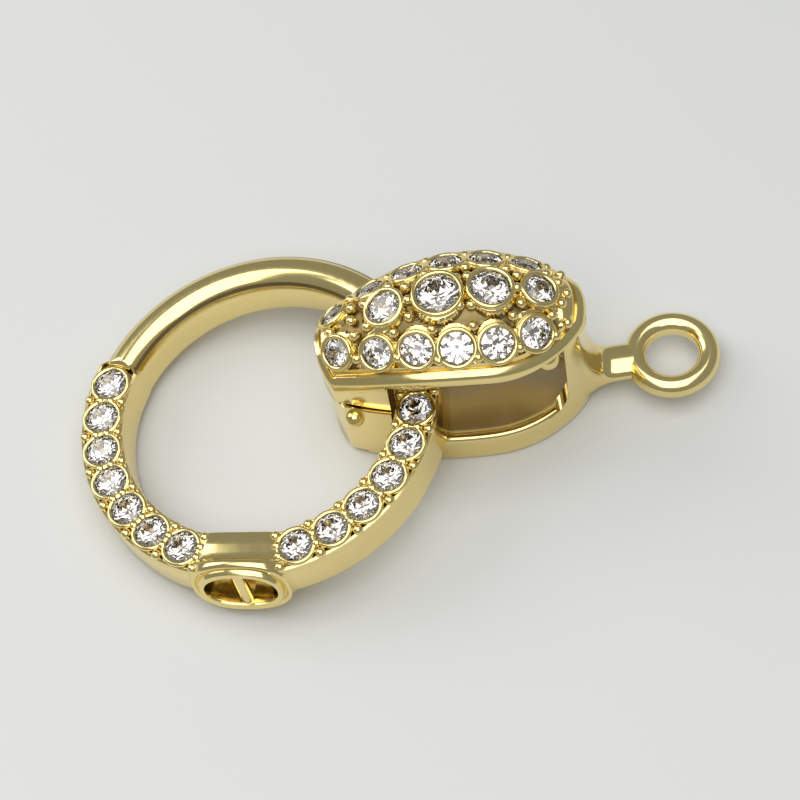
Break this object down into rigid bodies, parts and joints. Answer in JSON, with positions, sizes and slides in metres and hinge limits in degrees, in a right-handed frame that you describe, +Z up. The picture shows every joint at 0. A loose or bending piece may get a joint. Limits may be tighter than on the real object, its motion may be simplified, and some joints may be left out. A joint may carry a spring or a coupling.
{
  "type": "jewellery clasp",
  "caption": "Necklace clasp: a stone-set ring held in the throat of a hook, whose leaf-shaped, stone-set cover is hinged at its tip.",
  "frame": {"origin": "centre of the clasp's bounding box in plan, on the surface that it rests on", "axes": "+X along the hook from its hinged tip to its eyelet, +Z up from the surface, +Y away from the ring's lug"},
  "size_m": [0.0232, 0.0138, 0.0074],
  "materials": {
    "gold_metal": "polished yellow-gold plating",
    "clear_stone": "cut and polished, colourless"
  },
  "bodies": {
    "hook": {"hook_base": "gold_metal", "hinge_pin": "gold_metal"},
    "ring": {"ring": "gold_metal", "ring_stone_left_1": "clear_stone", "ring_stone_left_2": "clear_stone", "ring_stone_left_3": "clear_stone", "ring_stone_left_4": "clear_stone", "ring_stone_left_5": "clear_stone", "ring_stone_left_6": "clear_stone", "ring_stone_left_7": "clear_stone", "ring_stone_right_1": "clear_stone", "ring_stone_right_2": "clear_stone", "ring_stone_right_3": "clear_stone", "ring_stone_right_4": "clear_stone", "ring_stone_right_5": "clear_stone", "ring_stone_right_6": "clear_stone", "ring_stone_right_7": "clear_stone"},
    "cover": {"cover": "gold_metal", "cover_stone_1": "clear_stone", "cover_stone_2": "clear_stone", "cover_stone_3": "clear_stone", "cover_stone_4": "clear_stone", "cover_stone_5": "clear_stone", "cover_stone_6": "clear_stone", "cover_stone_7": "clear_stone", "cover_stone_8": "clear_stone", "cover_stone_9": "clear_stone", "cover_stone_10": "clear_stone", "cover_stone_11": "clear_stone", "cover_stone_12": "clear_stone", "cover_stone_13": "clear_stone", "cover_stone_14": "clear_stone", "cover_stone_15": "clear_stone", "cover_stone_16": "clear_stone"}
  },
  "joints": [
    {"name": "cover_hinge", "type": "hinge", "parent": "hook", "child": "cover", "pos_m": [-0.00166, 0.00121, 0.0025], "axis": [0, -1, 0], "range_deg": [0, 70]},
    {"name": "ring_turn", "type": "hinge", "parent": "hook", "child": "ring", "pos_m": [-0.00491, 0.00031, 0.00187], "axis": [-0.1426, 0, 0.9898], "range_deg": [-195, 45]}
  ]
}
